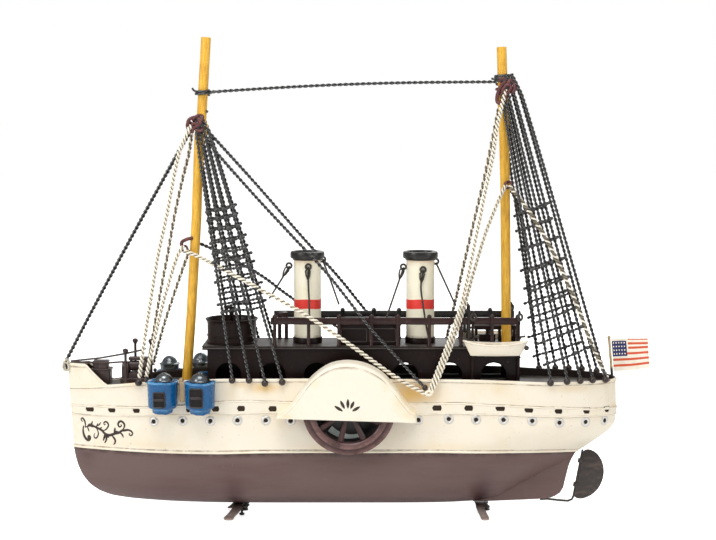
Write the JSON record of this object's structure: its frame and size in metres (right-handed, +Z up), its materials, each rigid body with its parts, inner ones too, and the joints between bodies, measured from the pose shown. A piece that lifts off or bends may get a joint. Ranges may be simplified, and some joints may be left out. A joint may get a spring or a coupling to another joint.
{
  "type": "model paddle steamer",
  "caption": "Tin model of a side-wheel paddle steamer with masts, shrouds, funnels, paddle wheels that turn and a rudder, standing on small feet.",
  "frame": {"origin": "on the floor, under the middle of the model's length and width", "axes": "+X towards the stern, +Y to starboard, +Z up"},
  "size_m": [0.4255, 0.103, 0.3452],
  "materials": {
    "cream_paint": "satin enamel, stained",
    "hull_brown_paint": "satin enamel",
    "black_wire": "painted twisted wire",
    "dull_steel": "dull steel",
    "blue_paint": "gloss enamel",
    "varnished_wood": "varnished dowel",
    "red_brown_paint": "satin enamel",
    "grey_deck_paint": "matt enamel",
    "flag_paint": "painted tin",
    "dark_brown_paint": "satin enamel"
  },
  "bodies": {
    "ship": {"backstay_port": "black_wire", "backstay_starboard": "black_wire", "bow_ring": "dull_steel", "cabin": "dark_brown_paint", "davit_port_aft": "dark_brown_paint", "davit_port_fore": "dark_brown_paint", "davit_starboard_aft": "dark_brown_paint", "davit_starboard_fore": "dark_brown_paint", "deck": "grey_deck_paint", "deckhouse_back": "dark_brown_paint", "deckhouse_front": "dark_brown_paint", "deckhouse_roof": "dark_brown_paint", "deckhouse_side_port": "dark_brown_paint", "deckhouse_side_starboard": "dark_brown_paint", "flag": "flag_paint", "flagstaff": "dark_brown_paint", "foot_aft": "hull_brown_paint", "foot_fore": "hull_brown_paint", "fore_mast": "varnished_wood", "forestay": "black_wire", "funnel_aft": "cream_paint", "funnel_cap_aft": "black_wire", "funnel_cap_fore": "black_wire", "funnel_fore": "cream_paint", "hatch_box": "dark_brown_paint", "helm": "dark_brown_paint", "hull_bottom": "hull_brown_paint", "hull_topside": "cream_paint", "lifeboat_port": "cream_paint", "lifeboat_starboard": "cream_paint", "main_mast": "varnished_wood", "mast_stay": "black_wire", "mid_stay_port": "black_wire", "mid_stay_starboard": "black_wire", "paddle_axle_port": "dull_steel", "paddle_axle_starboard": "dull_steel", "paddle_box_port": "cream_paint", "paddle_box_starboard": "cream_paint", "rail_port": "dark_brown_paint", "rail_starboard": "dark_brown_paint", "rudder_wire": "dark_brown_paint", "shrouds_fore_port": "black_wire", "shrouds_fore_starboard": "black_wire", "shrouds_main_port": "black_wire", "shrouds_main_starboard": "black_wire", "turret_dome_port_aft": "dull_steel", "turret_dome_port_fore": "dull_steel", "turret_dome_starboard_aft": "dull_steel", "turret_dome_starboard_fore": "dull_steel", "turret_port_aft": "blue_paint", "turret_port_fore": "blue_paint", "turret_starboard_aft": "blue_paint", "turret_starboard_fore": "blue_paint", "wheelhouse_tub": "dark_brown_paint", "windlass": "dark_brown_paint"},
    "paddle_wheel_port": {"paddle_wheel_port": "red_brown_paint"},
    "paddle_wheel_starboard": {"paddle_wheel_starboard": "red_brown_paint"},
    "rudder": {"rudder": "dark_brown_paint"}
  },
  "joints": [
    {"name": "paddle_spin_port", "type": "hinge", "parent": "ship", "child": "paddle_wheel_port", "pos_m": [-0.0064, -0.04175, 0.0859], "axis": [0, 1, 0], "continuous": true},
    {"name": "paddle_spin_starboard", "type": "hinge", "parent": "ship", "child": "paddle_wheel_starboard", "pos_m": [-0.0064, 0.04175, 0.0859], "axis": [0, 1, 0], "continuous": true},
    {"name": "rudder_turn", "type": "hinge", "parent": "ship", "child": "rudder", "pos_m": [0.1574, 0, 0.0135], "axis": [0.177, 0, 0.9842], "range_deg": [-30, 30]}
  ]
}
